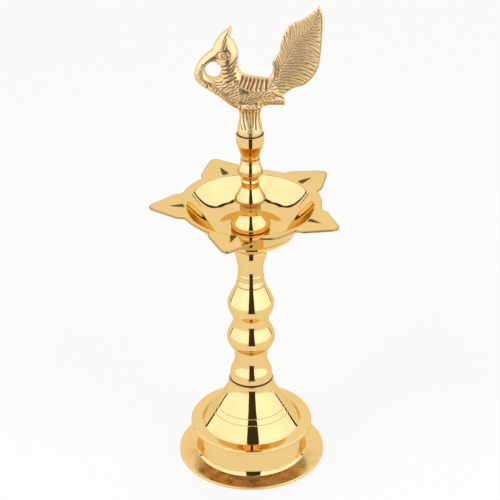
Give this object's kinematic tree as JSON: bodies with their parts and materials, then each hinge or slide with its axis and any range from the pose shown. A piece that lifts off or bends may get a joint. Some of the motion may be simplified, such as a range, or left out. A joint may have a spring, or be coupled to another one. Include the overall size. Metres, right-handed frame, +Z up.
{
  "type": "standing oil lamp",
  "caption": "Brass standing oil lamp that unscrews: bell-shaped base, turned stem, star-shaped oil dish, turned spindle and a crested bird with a raised tail on top.",
  "frame": {"origin": "on the ground plane, below the middle of the lamp's outline seen from above; the lamp's own axis stands 3.5 mm along +X and 1.1 mm along +Y from it", "axes": "+Z up along the stem; the bird looks along -X and its tail points along +X; -Y faces the viewer of the picture"},
  "size_m": [0.0934, 0.0956, 0.2542],
  "materials": {
    "polished_brass": "turned and mirror polished",
    "dish_brass": "cast, turned inside, polished",
    "engraved_brass": "cast, engraved and lightly polished",
    "stud_brass": "machined, threaded"
  },
  "bodies": {
    "base": {"base": "polished_brass"},
    "stem_stud": {"stem_stud": "stud_brass"},
    "stem": {"stem": "polished_brass"},
    "dish": {"dish": "dish_brass"},
    "centre_stud": {"centre_stud": "stud_brass"},
    "spindle": {"spindle": "polished_brass"},
    "bird_stud": {"bird_stud": "stud_brass"},
    "bird": {"bird": "engraved_brass"}
  },
  "joints": [
    {"name": "stem_lift", "type": "slide", "parent": "base", "child": "stem_stud", "axis": [0, 0, 1], "range_m": [0, 0.01]},
    {"name": "stem_turn", "type": "hinge", "parent": "stem_stud", "child": "stem", "pos_m": [0.0035, 0.00108, 0.046], "axis": [0, 0, 1], "range_deg": [0, 2881]},
    {"name": "dish_turn", "type": "hinge", "parent": "stem", "child": "dish", "pos_m": [0.0035, 0.00108, 0.123], "axis": [0, 0, 1], "continuous": true},
    {"name": "spindle_lift", "type": "slide", "parent": "stem", "child": "centre_stud", "axis": [0, 0, 1], "range_m": [0, 0.008]},
    {"name": "spindle_turn", "type": "hinge", "parent": "centre_stud", "child": "spindle", "pos_m": [0.0035, 0.00108, 0.135], "axis": [0, 0, 1], "range_deg": [0, 2881]},
    {"name": "bird_lift", "type": "slide", "parent": "spindle", "child": "bird_stud", "axis": [0, 0, 1], "range_m": [0, 0.0064]},
    {"name": "bird_turn", "type": "hinge", "parent": "bird_stud", "child": "bird", "pos_m": [0.0035, 0.00108, 0.1876], "axis": [0, 0, 1], "range_deg": [0, 2881]}
  ],
  "couplings": [
    {"joint": "stem_turn", "follows": "stem_lift", "rad_per_m": 5026.5},
    {"joint": "spindle_turn", "follows": "spindle_lift", "rad_per_m": 6283.2},
    {"joint": "bird_turn", "follows": "bird_lift", "rad_per_m": 7854}
  ]
}
